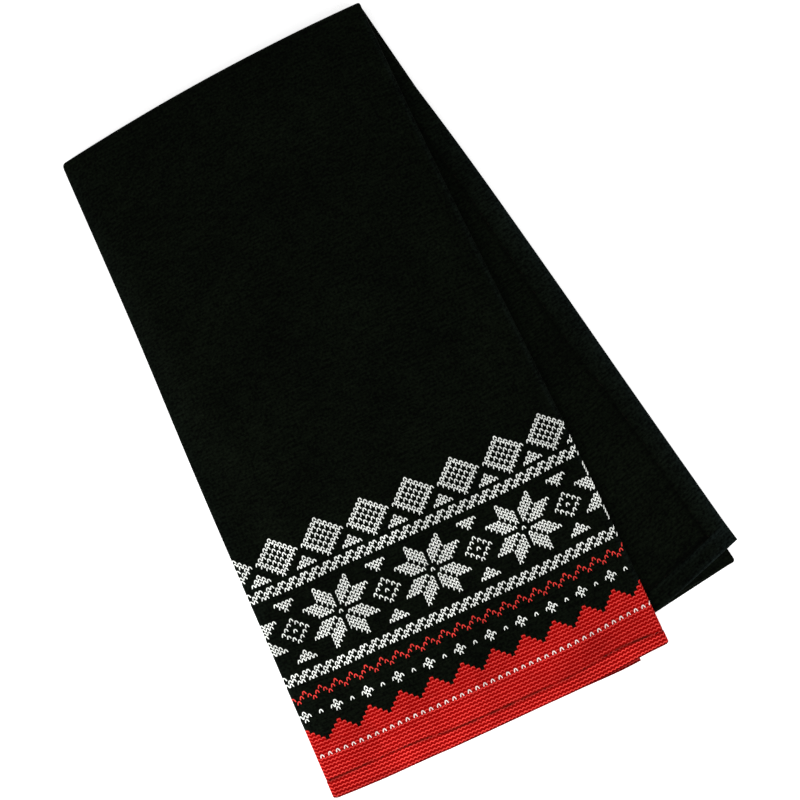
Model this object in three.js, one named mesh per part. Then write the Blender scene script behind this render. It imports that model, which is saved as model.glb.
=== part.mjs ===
// Folded tea towel: one cotton cloth folded in thirds along its length, then once across.
// Sizes are millimetres. X runs across the upper half, Y along it to the cross fold, Z is up.
import * as THREE from 'three';

// Cloth and pile
const THICKNESS = 1.0;
const LAYER_STEP = 1.4;
const LEVEL = { outer: 0.5 * LAYER_STEP, inner: 1.5 * LAYER_STEP, middle: 2.5 * LAYER_STEP };
const RESTING = THICKNESS / 2;
const PILE_MIDDLE = LEVEL.middle + RESTING;

// Width of the strip between its two long folds, and the places across it that carry columns
const STRIP_WIDTH = 172.0;
const ACROSS_NODES = [0, 6, 12, 18, 24, 30, 37, 45, 55, 68, 86, 106, 126, 144, 159, STRIP_WIDTH];
const FLAP_PIVOT = 68;
const INNER_FREE_EDGE = 12;
const OUTER_FREE_EDGE = 159;
const LEFT_FOLD_STEPS = 8;
const RIGHT_FOLD_STEPS = 6;
const CORNER_ROUNDING = 0.5;

// Rows from the patterned hem over the cross fold to the plain hem
const UPPER_ROWS = 15;
const CROSS_FOLD_STEPS = 9;
const LOWER_ROWS = 13;

// The cross fold: where its axis ends at the two long folds, how far it bows out in the
// middle, and how far the cloth slips sideways as it goes round the skewed fold
const AXIS_LEFT = new THREE.Vector2(-104.3, 176.2);
const AXIS_RIGHT = new THREE.Vector2(65.0, 192.6);
const AXIS_BOW = 3.2;
const FOLD_SLIP = 1.3;

// Long fold lines of each half; along is 0 at the cross fold and 1 at the hem
const FOLD_LINES = [
  { along: 0.00, upperLeft: -104.3, upperRight: 65.0, lowerLeft: -104.3, lowerRight: 65.0 },
  { along: 0.25, upperLeft: -104.5, upperRight: 64.9, lowerLeft: -92.2, lowerRight: 77.9 },
  { along: 0.50, upperLeft: -105.7, upperRight: 66.3, lowerLeft: -79.9, lowerRight: 90.7 },
  { along: 0.75, upperLeft: -105.9, upperRight: 67.4, lowerLeft: -68.2, lowerRight: 102.9 },
  { along: 1.00, upperLeft: -106.1, upperRight: 67.2, lowerLeft: -56.6, lowerRight: 114.5 },
];

// Free side hems of the two flaps, measured across from the left fold line
const UPPER_FLAPS = [
  { along: 0, outer: 170, inner: 12 },
  { along: 1, outer: 157.5, inner: 12 },
];
const LOWER_FLAPS = [
  { along: 0.00, outer: 170.0, inner: 12 },
  { along: 0.25, outer: 173.8, inner: 17 },
  { along: 0.50, outer: 175.2, inner: 22 },
  { along: 0.75, outer: 176.2, inner: 26 },
  { along: 1.00, outer: 178.1, inner: 31 },
];

// End hems: Y of each layer at a share of the strip's width, on both halves
const UPPER_HEM = [
  { across: 0.00, middle: -161.8, inner: -159.8, outer: -161.8 },
  { across: 0.08, middle: -162.4, inner: -159.7, outer: -162.1 },
  { across: 0.17, middle: -162.9, inner: -159.6, outer: -162.3 },
  { across: 0.27, middle: -162.6, inner: -159.5, outer: -162.6 },
  { across: 0.36, middle: -162.95, inner: -159.4, outer: -162.8 },
  { across: 0.60, middle: -163.15, inner: -159.5, outer: -163.3 },
  { across: 0.75, middle: -163.3, inner: -159.8, outer: -163.7 },
  { across: 0.85, middle: -162.6, inner: -160.3, outer: -164.0 },
  { across: 0.92, middle: -161.8, inner: -160.8, outer: -163.6 },
  { across: 1.00, middle: -161.5, inner: -161.5, outer: -163.1 },
];
const LOWER_HEM = [
  { across: 0.00, middle: -161.4, inner: -159.2, outer: -161.4 },
  { across: 0.25, middle: -157.0, inner: -154.7, outer: -156.2 },
  { across: 0.50, middle: -151.9, inner: -149.3, outer: -151.1 },
  { across: 0.75, middle: -146.1, inner: -144.1, outer: -145.5 },
  { across: 1.00, middle: -140.3, inner: -140.3, outer: -139.9 },
];

// The lower half's flap corner is drawn back and stands up a little past a slanting crease
const FLAP_CORNER_START = 128;
const FLAP_CORNER_SLOPE = 0.175;
const FLAP_CORNER_EASE = 4;
const FLAP_CREASE = { x: 97, y: -127, directionX: 0.36, directionY: -0.93, rise: 1.7, reach: 15 };

// Past the lower half's left fold the upper half comes down to the table
const DRAPE_WIDTH = 20;
const DRAPE_DROP = 3 * LAYER_STEP;

// The pile is fuller by the cross fold and in two low swells
const FULLNESS_AT_FOLD = 0.14;
const FULLNESS_REACH = 55;
const SWELLS = [
  { x: -30, y: 40, radius: 80, amount: 0.07 },
  { x: 25, y: -95, radius: 60, amount: 0.05 },
];

const CLOTH = { name: 'cloth', color: 0x0a0c08, roughness: 0.95, metalness: 0 };

const axisDirection = AXIS_RIGHT.clone().sub(AXIS_LEFT).normalize();
const axisNormal = new THREE.Vector2(-axisDirection.y, axisDirection.x);

function clampShare(value) {
  return Math.min(1, Math.max(0, value));
}

function smoothShare(value) {
  const share = clampShare(value);
  return share * share * (3 - 2 * share);
}

// Smooth value of one named column of a table at a place along it
function readTable(table, key, column, place) {
  const last = table.length - 1;
  let row = 0;
  while (row < last - 1 && place > table[row + 1][key]) {
    row += 1;
  }
  const from = table[row];
  const to = table[row + 1];
  const before = table[Math.max(0, row - 1)];
  const after = table[Math.min(last, row + 2)];
  const span = to[key] - from[key];
  const share = (place - from[key]) / span;
  const startSlope = (to[column] - before[column]) / (to[key] - before[key]) * span;
  const endSlope = (after[column] - from[column]) / (after[key] - from[key]) * span;
  if (share > 1) {
    return to[column] + (share - 1) * endSlope;
  }
  const square = share * share;
  const cube = square * share;
  return from[column] * (2 * cube - 3 * square + 1)
    + to[column] * (3 * square - 2 * cube)
    + startSlope * (cube - 2 * square + share)
    + endSlope * (cube - square);
}

// Columns of the sheet from the inner flap's free hem, round both long folds, to the outer flap's
function sheetColumns() {
  const columns = [];
  const flatColumn = (layer, across) => {
    columns.push({ layer, across, bulge: 0, level: LEVEL[layer], rounding: 0 });
  };
  const foldColumns = (steps, across, side, fromLevel, toLevel, layerBefore, layerAfter) => {
    const radius = Math.abs(toLevel - fromLevel) / 2;
    for (let step = 1; step < steps; step += 1) {
      const angle = Math.PI * step / steps;
      columns.push({
        layer: step * 2 < steps ? layerBefore : layerAfter,
        across,
        bulge: side * radius * Math.sin(angle),
        level: (fromLevel + toLevel) / 2 + (fromLevel - toLevel) / 2 * Math.cos(angle),
        rounding: Math.sin(angle),
      });
    }
  };
  for (const across of ACROSS_NODES) {
    if (across >= INNER_FREE_EDGE) {
      flatColumn('inner', across);
    }
  }
  foldColumns(RIGHT_FOLD_STEPS, STRIP_WIDTH, 1, LEVEL.inner, LEVEL.middle, 'inner', 'middle');
  for (const across of [...ACROSS_NODES].reverse()) {
    flatColumn('middle', across);
  }
  foldColumns(LEFT_FOLD_STEPS, 0, -1, LEVEL.middle, LEVEL.outer, 'middle', 'outer');
  for (const across of ACROSS_NODES) {
    if (across <= OUTER_FREE_EDGE) {
      flatColumn('outer', across);
    }
  }
  return columns;
}

// Rows of the sheet: the half each lies in, its share along that half, and the fold angle
function sheetRows() {
  const rows = [];
  for (let row = 0; row <= UPPER_ROWS; row += 1) {
    rows.push({ half: 'upper', along: 1 - row / UPPER_ROWS, angle: 0 });
  }
  for (let step = 1; step < CROSS_FOLD_STEPS; step += 1) {
    rows.push({ half: 'fold', along: 0, angle: Math.PI * step / CROSS_FOLD_STEPS });
  }
  for (let row = 0; row <= LOWER_ROWS; row += 1) {
    rows.push({ half: 'lower', along: row / LOWER_ROWS, angle: Math.PI });
  }
  return rows;
}

// A flap's free hem isn't parallel to its fold, so columns past the pivot shift with the hem
function acrossStrip(column, half, along) {
  if (column.layer === 'middle' || column.rounding > 0) {
    return column.across;
  }
  const nominal = column.layer === 'outer' ? OUTER_FREE_EDGE : INNER_FREE_EDGE;
  const table = half === 'lower' ? LOWER_FLAPS : UPPER_FLAPS;
  const edge = readTable(table, 'along', column.layer, along);
  const share = clampShare((column.across - FLAP_PIVOT) / (nominal - FLAP_PIVOT));
  return column.across + (edge - nominal) * share;
}

function axisPoint(across, angle) {
  const bow = AXIS_BOW * 4 * clampShare(across) * (1 - clampShare(across));
  return AXIS_LEFT.clone()
    .lerp(AXIS_RIGHT, across)
    .addScaledVector(axisNormal, bow)
    .addScaledVector(axisDirection, FOLD_SLIP * angle / Math.PI);
}

function hemY(column, half, across) {
  const table = half === 'lower' ? LOWER_HEM : UPPER_HEM;
  const hem = readTable(table, 'across', column.layer, across);
  let drawnBack = CORNER_ROUNDING * column.rounding;
  if (half === 'lower' && column.layer === 'outer') {
    const past = Math.max(0, across * STRIP_WIDTH - FLAP_CORNER_START);
    drawnBack += FLAP_CORNER_SLOPE * past * past / (past + FLAP_CORNER_EASE);
  }
  return hem + drawnBack;
}

// How far a place on the table lies outside the lower half's left fold line
function outsideLowerHalf(x, y) {
  const from = FOLD_LINES[0];
  const to = FOLD_LINES[FOLD_LINES.length - 1];
  const run = new THREE.Vector2(to.lowerLeft - from.lowerLeft, LOWER_HEM[0].middle - AXIS_LEFT.y);
  run.normalize();
  return (x - from.lowerLeft) * run.y - (y - AXIS_LEFT.y) * run.x;
}

function fullness(x, y) {
  const fromAxis = AXIS_LEFT.y + (x - AXIS_LEFT.x) * axisDirection.y / axisDirection.x - y;
  let full = 1 + FULLNESS_AT_FOLD * Math.exp(-Math.max(0, fromAxis) / FULLNESS_REACH);
  for (const swell of SWELLS) {
    const away = Math.hypot(x - swell.x, y - swell.y) / swell.radius;
    full += swell.amount * Math.exp(-away * away);
  }
  return full;
}

function cornerLift(column, half, x, y) {
  if (half !== 'lower' || column.layer !== 'outer' || column.rounding > 0) {
    return 0;
  }
  const crease = FLAP_CREASE;
  const past = (x - crease.x) * crease.directionX + (y - crease.y) * crease.directionY;
  return crease.rise * smoothShare(past / crease.reach);
}

// Middle of the cloth at one column and row
function clothPoint(column, row) {
  const across = acrossStrip(column, row.half, row.along) / STRIP_WIDTH;
  const axis = axisPoint(across, row.angle);
  const place = axis.clone().addScaledVector(axisDirection, column.bulge);
  if (row.half === 'fold') {
    place.addScaledVector(axisNormal, column.level * Math.sin(row.angle));
  } else {
    const left = readTable(FOLD_LINES, 'along', row.half + 'Left', row.along);
    const right = readTable(FOLD_LINES, 'along', row.half + 'Right', row.along);
    const slip = (axis.x - AXIS_LEFT.x - across * (AXIS_RIGHT.x - AXIS_LEFT.x)) * (1 - row.along);
    place.x = left + across * (right - left) + column.bulge + slip;
    place.y = axis.y + row.along * (hemY(column, row.half, across) - axis.y);
  }
  let height = PILE_MIDDLE + column.level * Math.cos(row.angle);
  const above = (1 + Math.cos(row.angle)) / 2;
  height -= DRAPE_DROP * above * smoothShare(outsideLowerHalf(place.x, place.y) / DRAPE_WIDTH);
  height = RESTING + (height - RESTING) * fullness(place.x, place.y);
  height += cornerLift(column, row.half, place.x, place.y);
  return new THREE.Vector3(place.x, place.y, height);
}

// Closed skin of the sheet: the grid pushed half a thickness to each side, joined by a rim
function sheetGeometry(columns, rows) {
  const wide = columns.length;
  const long = rows.length;
  const middle = rows.map((row) => columns.map((column) => clothPoint(column, row)));
  const positions = [];
  const normalAt = (i, j) => {
    const across = middle[j][Math.min(wide - 1, i + 1)].clone().sub(middle[j][Math.max(0, i - 1)]);
    const along = middle[Math.min(long - 1, j + 1)][i].clone().sub(middle[Math.max(0, j - 1)][i]);
    return across.cross(along).normalize();
  };
  for (const side of [1, -1]) {
    for (let j = 0; j < long; j += 1) {
      for (let i = 0; i < wide; i += 1) {
        const point = middle[j][i].clone().addScaledVector(normalAt(i, j), side * THICKNESS / 2);
        positions.push(point.x, point.y, point.z);
      }
    }
  }
  const front = (i, j) => j * wide + i;
  const back = (i, j) => wide * long + j * wide + i;
  const faces = [];
  const addQuad = (a, b, c, d) => faces.push(a, b, c, a, c, d);
  for (let j = 0; j < long - 1; j += 1) {
    for (let i = 0; i < wide - 1; i += 1) {
      addQuad(front(i, j), front(i + 1, j), front(i + 1, j + 1), front(i, j + 1));
      addQuad(back(i, j), back(i, j + 1), back(i + 1, j + 1), back(i + 1, j));
    }
    addQuad(front(0, j), front(0, j + 1), back(0, j + 1), back(0, j));
    addQuad(front(wide - 1, j), back(wide - 1, j), back(wide - 1, j + 1), front(wide - 1, j + 1));
  }
  for (let i = 0; i < wide - 1; i += 1) {
    addQuad(front(i, 0), back(i, 0), back(i + 1, 0), front(i + 1, 0));
    addQuad(front(i, long - 1), front(i + 1, long - 1), back(i + 1, long - 1), back(i, long - 1));
  }
  const geometry = new THREE.BufferGeometry();
  geometry.setAttribute('position', new THREE.Float32BufferAttribute(positions, 3));
  geometry.setIndex(faces);
  return geometry;
}

// Origin under the middle of the pile's outline, on the table
function centreOnTable(geometry) {
  geometry.computeBoundingBox();
  const box = geometry.boundingBox;
  geometry.translate(-(box.min.x + box.max.x) / 2, -(box.min.y + box.max.y) / 2, -box.min.z);
  geometry.computeVertexNormals();
  return geometry;
}

const towel = new THREE.Mesh(
  centreOnTable(sheetGeometry(sheetColumns(), sheetRows())),
  new THREE.MeshStandardMaterial(CLOTH),
);
towel.name = 'towel';

const group = new THREE.Group();
group.name = 'folded_tea_towel';
group.add(towel);

export default group;
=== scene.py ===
"""Folded tea towel: black jacquard cotton with a winter border and a red end, lying flat.

Cloth sizes are worked out in millimetres in the towel's own plan, and turned to metres when
the meshes are made. X runs across the upper half, Y along it to the cross fold, Z is up.
"""

import math
from collections import namedtuple

import bpy
from bpy.props import FloatProperty, FloatVectorProperty, IntProperty, PointerProperty
from mathutils import Euler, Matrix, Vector, noise


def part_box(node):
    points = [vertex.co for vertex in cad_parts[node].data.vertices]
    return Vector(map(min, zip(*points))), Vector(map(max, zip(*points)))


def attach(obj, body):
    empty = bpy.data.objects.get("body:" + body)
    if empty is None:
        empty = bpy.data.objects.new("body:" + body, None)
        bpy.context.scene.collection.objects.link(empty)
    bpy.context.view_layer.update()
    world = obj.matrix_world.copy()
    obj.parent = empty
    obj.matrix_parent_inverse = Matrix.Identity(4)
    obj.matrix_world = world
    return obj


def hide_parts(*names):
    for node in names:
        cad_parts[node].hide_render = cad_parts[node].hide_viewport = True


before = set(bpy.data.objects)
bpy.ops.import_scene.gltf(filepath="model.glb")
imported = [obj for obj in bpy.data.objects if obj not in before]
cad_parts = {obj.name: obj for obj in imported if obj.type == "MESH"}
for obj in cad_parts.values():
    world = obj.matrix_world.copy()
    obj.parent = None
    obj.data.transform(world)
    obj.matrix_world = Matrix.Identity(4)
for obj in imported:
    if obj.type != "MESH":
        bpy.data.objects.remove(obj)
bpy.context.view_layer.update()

bl_info = {
    "name": "Folded Tea Towel",
    "version": (1, 0, 0),
    "blender": (4, 5, 0),
    "location": "View3D > Sidebar > Tea Towel",
    "description": "Black jacquard cotton tea towel with a woven border, folded and lying flat",
    "category": "Object",
}

MM = 0.001

# Pile: six layers of cloth, three in each half
LAYER_STEP = 1.4
LEVEL = {"outer": 0.5 * LAYER_STEP, "inner": 1.5 * LAYER_STEP, "middle": 2.5 * LAYER_STEP}
RESTING = 0.5
PILE_MIDDLE = LEVEL["middle"] + RESTING

# Strip between the two long folds, and the free side hems of the flaps folded under it
STRIP_WIDTH = 172.0
FLAP_PIVOT = 68.0
INNER_FREE_EDGE = 12.0
OUTER_FREE_EDGE = 159.0
CORNER_ROUNDING = 0.5

# The woven figure counts in stitches, each this wide and tall
STITCH_WIDE = 2.0
STITCH_TALL = 1.81
RIGHT_FOLD_FROM = 80
MIDDLE_FROM = 81
LEFT_FOLD_FROM = 167
OUTER_FROM = 169
CLOTH_STITCHES = 249
CLOTH_CENTRE = (MIDDLE_FROM + LEFT_FOLD_FROM) // 2

# Rows, also counted in stitches, from the red hem over the cross fold to the plain hem
FIGURED_ROWS = 70
CROSS_FOLD_FROM = 190
LOWER_FROM = 194
CLOTH_ROWS = 380
END_REACH = 12.0

# The cross fold's axis, its bow, and how far the cloth slips sideways going round it
AXIS_LEFT = Vector((-104.3, 176.2))
AXIS_RIGHT = Vector((65.0, 192.6))
AXIS_BOW = 3.2
FOLD_SLIP = 1.3
AXIS_DIRECTION = (AXIS_RIGHT - AXIS_LEFT).normalized()
AXIS_NORMAL = Vector((-AXIS_DIRECTION.y, AXIS_DIRECTION.x))

# Long fold lines and free side hems; along is 0 at the cross fold and 1 at the end hem
FOLD_LINES = {
    "along": (0.00, 0.25, 0.50, 0.75, 1.00),
    "upper_left": (-104.3, -104.5, -105.7, -105.9, -106.1),
    "upper_right": (65.0, 64.9, 66.3, 67.4, 67.2),
    "lower_left": (-104.3, -92.2, -79.9, -68.2, -56.6),
    "lower_right": (65.0, 77.9, 90.7, 102.9, 114.5),
}
UPPER_FLAPS = {"along": (0.0, 1.0), "outer": (170.0, 157.5), "inner": (12.0, 12.0)}
LOWER_FLAPS = {
    "along": (0.00, 0.25, 0.50, 0.75, 1.00),
    "outer": (170.0, 173.8, 175.2, 176.2, 178.1),
    "inner": (12.0, 17.0, 22.0, 26.0, 31.0),
}

# End hems of each layer at a share of the strip's width
UPPER_HEM = {
    "across": (0.00, 0.08, 0.17, 0.27, 0.36, 0.60, 0.75, 0.85, 0.92, 1.00),
    "middle": (-161.8, -162.4, -162.9, -162.6, -162.95, -163.15, -163.3, -162.6, -161.8, -161.5),
    "inner": (-159.8, -159.7, -159.6, -159.5, -159.4, -159.5, -159.8, -160.3, -160.8, -161.5),
    "outer": (-161.8, -162.1, -162.3, -162.6, -162.8, -163.3, -163.7, -164.0, -163.6, -163.1),
}
LOWER_HEM = {
    "across": (0.00, 0.25, 0.50, 0.75, 1.00),
    "middle": (-161.4, -157.0, -151.9, -146.1, -140.3),
    "inner": (-159.2, -154.7, -149.3, -144.1, -140.3),
    "outer": (-161.4, -156.2, -151.1, -145.5, -139.9),
}

# Corner of the lower half's flap: drawn back, and standing up a little past a crease
FLAP_CORNER_START = 128.0
FLAP_CORNER_SLOPE = 0.175
FLAP_CORNER_EASE = 4.0
FLAP_CREASE = Vector((97.0, -127.0))
FLAP_CREASE_DOWN = Vector((0.36, -0.93))
FLAP_CREASE_RISE = 1.7
FLAP_CREASE_REACH = 15.0

# Height of the pile: where it comes down to the table, and where it is full or settled
DRAPE_WIDTH = 20.0
DRAPE_DROP = 3 * LAYER_STEP
FULLNESS_AT_FOLD = 0.14
FULLNESS_REACH = 55.0
SWELLS = ((Vector((-30.0, 40.0)), 80.0, 0.07), (Vector((25.0, -95.0)), 60.0, 0.05))
UNEVENNESS = ((46.0, 0.030), (19.0, 0.016))
LEFT_SETTLE = 0.9
LEFT_SOFTNESS = 0.06
LEFT_SOFT_REACH = 15.0
RIGHT_SETTLE = 0.7
RIGHT_SETTLE_REACH = 6.0
RIGHT_ROLL = 0.45
RIGHT_ROLL_REACH = 4.5

# A pucker across the lower half's side hem: from, to, half width and depth
PUCKER_FROM = Vector((103.0, -65.0))
PUCKER_TO = Vector((74.0, -61.0))
PUCKER_REACH = 3.5
PUCKER_DEPTH = 0.3

# Arch of the yarn in one stitch, in shares of the stitch
ARCH_TOP = 0.84
ARCH_BEND = 4.6
RED_ARCH_BEND = 1.5
YARN_WANDER = 0.2

# Width of the turned hems, the red one by its place across the middle layer
RED_HEM = {
    "across": (0.00, 0.15, 0.25, 0.36, 0.45, 0.60, 0.70, 0.80, 0.88, 0.94, 1.00),
    "width": (8.9, 9.9, 9.5, 8.0, 7.4, 7.2, 7.2, 8.4, 8.6, 7.6, 6.4),
    "drawn_up": (0.75, 0.5, 0.6, 0.6, 0.75, 0.75, 0.4, 0.55, 0.7, 0.85, 0.7),
}
SIDE_HEM = {
    "along": (0.00, 0.35, 0.58, 0.66, 0.72, 1.00),
    "width": (9.4, 9.8, 10.6, 10.2, 8.9, 8.7),
}
PLAIN_HEM_WIDTH = 10.0
HEM_STEP = 1.3
GROOVE_HALF_WIDTH = 0.55
GROOVE_DEPTH = 0.22
DRAWN_HALF_WIDTH = 0.75

# Where the sewn lines end short of the cloth's corners, in stitches, and their points
END_SEAM_INSET = 5.0
RED_CORNER_INSET = 5.2
PLAIN_CORNER_INSET = 5.8
END_SEAM_POINTS = 240
SIDE_SEAM_POINTS = 280
SLOPE_STEP = 0.3

# The plain hem's free corner, by its columns
CORNER_FROM = 226
CORNER_REACH = 18

# Painted highlight of the flap's black hems, where the doubled hem catches the light: paleness from
# the sewn line, 0, to the edge, 1
HEM_PALENESS = {
    "inward": (0.00, 0.12, 0.30, 0.60, 0.85, 1.00),
    "side": (0.10, 0.20, 0.33, 0.50, 0.90, 1.50),
    "end": (0.30, 1.00, 0.50, 0.35, 0.75, 1.60),
}
PALE_SIDE_FROM = 0.05
PALE_SIDE_REACH = 0.35
PALE_END_LEAST = 0.05

# Painted highlight of the red hem and of the two long folds, where they catch the light, and
# paleness of the red field by its left end
RED_HEM_PALENESS = 0.9
RED_FIELD_PALENESS = 0.6
RED_PALE_FROM = 112
RED_PALE_REACH = 20
RED_PALE_ROW = 6.0
RED_PALE_HALF_HEIGHT = 3.5
RIGHT_RIDGE = 0.6
RIGHT_RIDGE_INSIDE = 0.3
RIGHT_RIDGE_REACH = 1.2
LEFT_PALENESS = 0.35
LEFT_PALE_REACH = 5.0

# Darker lines: beside the sewn lines, and at the red end's edge and the layers under it
SEAM_SHADOW_INSIDE = 0.7
SEAM_SHADOW_REACH = 1.25
SIDE_SEAM_SHADOW = 0.45
CORNER_SEAM_SHADOW = 0.4
END_SEAM_SHADOW = 0.95
END_SEAM_LEAST = 0.4
END_SEAM_BLUR = 0.6
END_SEAM_SPREAD = 3.0
SIDE_SEAM_SPREAD = 14.0
EDGE_SHADOW = 0.55
EDGE_SHADOW_REACH = 1.0
UNDER_SHADOW = 0.55
UNDER_SHADOW_REACH = 4.0

# Soft patches of painted shade on the red field, in stitches: column, row, half width, half height,
# depth
RED_PATCHES = (
    (97.0, 7.5, 5.0, 3.5, 0.25),
    (86.0, 9.0, 6.0, 4.0, 0.12),
    (158.0, 0.3, 20.0, 1.0, 0.40),
)

# One repeat of each band of the border, top row first. W is a white stitch on black, R a red
# stitch on black, F red yarn on the red ground, V white on the red ground.
LOZENGE_CHAIN = (
    ".....W......",
    "....WWW.....",
    "...WW.WW....",
    "..WW.W.WW...",
    ".WW.W.W.WW..",
    "WW.W.W.W.WW.",
    ".WW.W.W.WW..",
    "..WW.W.WW...",
    "...WW.WW...W",
    "W...WWW...WW",
    "WW...W...WWW",
)
ROPE = (
    "WW.",
    ".WW",
    "W.W",
)
STAR_BAND = (
    "....W.......W.....WWWWW.",
    "....WW.....WW......WWW..",
    "....WWW...WWW.......W...",
    "....WWWW.WWWW...........",
    "WWWW.WWW.WWW.WWWW.......",
    ".WWWW.WW.WW.WWWW....W...",
    "..WWWW.W.W.WWWW....W.W..",
    "...WWWW...WWWW....W...W.",
    "........W........W..W..W",
    "...WWWW...WWWW....W...W.",
    "..WWWW.W.W.WWWW....W.W..",
    ".WWWW.WW.WW.WWWW....W...",
    "WWWW.WWW.WWW.WWWW.......",
    "....WWWW.WWWW...........",
    "....WWW...WWW.......W...",
    "....WW.....WW......WWW..",
    "....W.......W.....WWWWW.",
)
WAVE = (
    "R...",
    ".R.R",
    "..R.",
)
PLUS_ROW = (
    "..W.....",
    ".WWW..W.",
    "..W.....",
)
SAWTOOTH = (
    "...F....",
    "..FFF...",
    ".FFFFF..",
    "FFFFFFF.",
    "FFFFFFFF",
)
DOTTED_RED = (
    "FF",
    "FF",
    "VF",
)
PLAIN_ROW = (".",)
RED_ROW = ("F",)
BORDER = (
    LOZENGE_CHAIN + PLAIN_ROW + ROPE + PLAIN_ROW * 2 + STAR_BAND + PLAIN_ROW * 2 + ROPE
    + PLAIN_ROW * 2 + WAVE + PLAIN_ROW * 2 + PLUS_ROW + PLAIN_ROW * 2 + SAWTOOTH
    + DOTTED_RED + RED_ROW * 11
)
STAR_CENTRE = 8

# Studio: floor in metres, camera in the towel's plan, and for each lamp its name, bearing from
# the camera's right, height above the floor in degrees, distance, width, and share of the power
FLOOR_REACH = 3.0
FLOOR_LEVEL = -0.0003
CAMERA_PLACE = Vector((-39.7, -87.1, 656.15))
VIEW_TILT = math.radians(8.3)
VIEW_TURN = math.radians(-24.5)
LAMPS = (
    ("left_lamp", 210.0, 22.0, 1.0, 0.7, 0.78),
    ("near_lamp", 260.0, 25.0, 0.8, 0.5, 0.62),
    ("right_lamp", -28.0, 22.0, 1.0, 0.7, 0.78),
)

Column = namedtuple("Column", "layer across bulge level rounding")
Row = namedtuple("Row", "half angle from_hem share")


def linear(hex_colour):
    """An sRGB hex colour as linear RGBA."""
    parts = (int(hex_colour[i:i + 2], 16) / 255 for i in (1, 3, 5))
    return (*(c / 12.92 if c <= 0.04045 else ((c + 0.055) / 1.055) ** 2.4 for c in parts), 1.0)


def clamp(value):
    return min(1.0, max(0.0, value))


def smooth(value):
    share = clamp(value)
    return share * share * (3 - 2 * share)


def bell(value):
    return math.exp(-value * value)


def mix(start, end, share):
    return start + (end - start) * share


def read_table(table, key, column, place):
    """Smooth value of a table's column at a place along its key, run on past the last row."""
    keys, values = table[key], table[column]
    last = len(keys) - 1
    row = 0
    while row < last - 1 and place > keys[row + 1]:
        row += 1
    before, after = max(0, row - 1), min(last, row + 2)
    span = keys[row + 1] - keys[row]
    share = (place - keys[row]) / span
    start_slope = (values[row + 1] - values[before]) / (keys[row + 1] - keys[before]) * span
    end_slope = (values[after] - values[row]) / (keys[after] - keys[row]) * span
    if share > 1:
        return values[row + 1] + (share - 1) * end_slope
    square = share * share
    cube = square * share
    return (
        values[row] * (2 * cube - 3 * square + 1)
        + values[row + 1] * (3 * square - 2 * cube)
        + start_slope * (cube - 2 * square + share)
        + end_slope * (cube - square)
    )


def fold_column(angle, across, side, before, after):
    """A column on the half circle of a long fold."""
    radius = abs(LEVEL[after] - LEVEL[before]) / 2
    middle = (LEVEL[before] + LEVEL[after]) / 2
    level = middle + (LEVEL[before] - LEVEL[after]) / 2 * math.cos(angle)
    layer = before if angle < math.pi / 2 else after
    return Column(layer, across, side * radius * math.sin(angle), level, math.sin(angle))


def column_at(stitch):
    """Where a column of the cloth lies, counted from the inner flap's free hem."""
    if stitch <= RIGHT_FOLD_FROM:
        across = mix(INNER_FREE_EDGE, STRIP_WIDTH, stitch / RIGHT_FOLD_FROM)
        return Column("inner", across, 0.0, LEVEL["inner"], 0.0)
    if stitch < MIDDLE_FROM:
        angle = math.pi * (stitch - RIGHT_FOLD_FROM) / (MIDDLE_FROM - RIGHT_FOLD_FROM)
        return fold_column(angle, STRIP_WIDTH, 1, "inner", "middle")
    if stitch <= LEFT_FOLD_FROM:
        share = (LEFT_FOLD_FROM - stitch) / (LEFT_FOLD_FROM - MIDDLE_FROM)
        return Column("middle", STRIP_WIDTH * share, 0.0, LEVEL["middle"], 0.0)
    if stitch < OUTER_FROM:
        angle = math.pi * (stitch - LEFT_FOLD_FROM) / (OUTER_FROM - LEFT_FOLD_FROM)
        return fold_column(angle, 0.0, -1, "middle", "outer")
    share = (stitch - OUTER_FROM) / (CLOTH_STITCHES - OUTER_FROM)
    return Column("outer", OUTER_FREE_EDGE * share, 0.0, LEVEL["outer"], 0.0)


def row_at(stitch):
    """Where a row of the cloth lies, counted from the red hem."""
    if stitch <= FIGURED_ROWS:
        return Row("upper", 0.0, STITCH_TALL * stitch, 0.0)
    if stitch <= CROSS_FOLD_FROM:
        share = (stitch - FIGURED_ROWS) / (CROSS_FOLD_FROM - FIGURED_ROWS)
        return Row("upper", 0.0, STITCH_TALL * FIGURED_ROWS, share)
    if stitch < LOWER_FROM:
        angle = math.pi * (stitch - CROSS_FOLD_FROM) / (LOWER_FROM - CROSS_FOLD_FROM)
        return Row("fold", angle, 0.0, 1.0)
    end_rows = END_REACH / STITCH_TALL
    if stitch < CLOTH_ROWS - end_rows:
        share = (CLOTH_ROWS - end_rows - stitch) / (CLOTH_ROWS - end_rows - LOWER_FROM)
        return Row("lower", math.pi, END_REACH, share)
    return Row("lower", math.pi, (CLOTH_ROWS - stitch) * STITCH_TALL, 0.0)


def across_strip(column, half, along):
    """A flap's free hem isn't parallel to its fold: columns past the pivot shift with it."""
    if column.layer == "middle" or column.rounding > 0:
        return column.across
    nominal = OUTER_FREE_EDGE if column.layer == "outer" else INNER_FREE_EDGE
    edge = read_table(LOWER_FLAPS if half == "lower" else UPPER_FLAPS, "along", column.layer, along)
    share = clamp((column.across - FLAP_PIVOT) / (nominal - FLAP_PIVOT))
    return column.across + (edge - nominal) * share


def axis_point(across, angle):
    bow = AXIS_BOW * 4 * clamp(across) * (1 - clamp(across))
    point = AXIS_LEFT.lerp(AXIS_RIGHT, across) if 0 <= across <= 1 else (
        AXIS_LEFT + (AXIS_RIGHT - AXIS_LEFT) * across
    )
    return point + AXIS_NORMAL * bow + AXIS_DIRECTION * (FOLD_SLIP * angle / math.pi)


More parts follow.
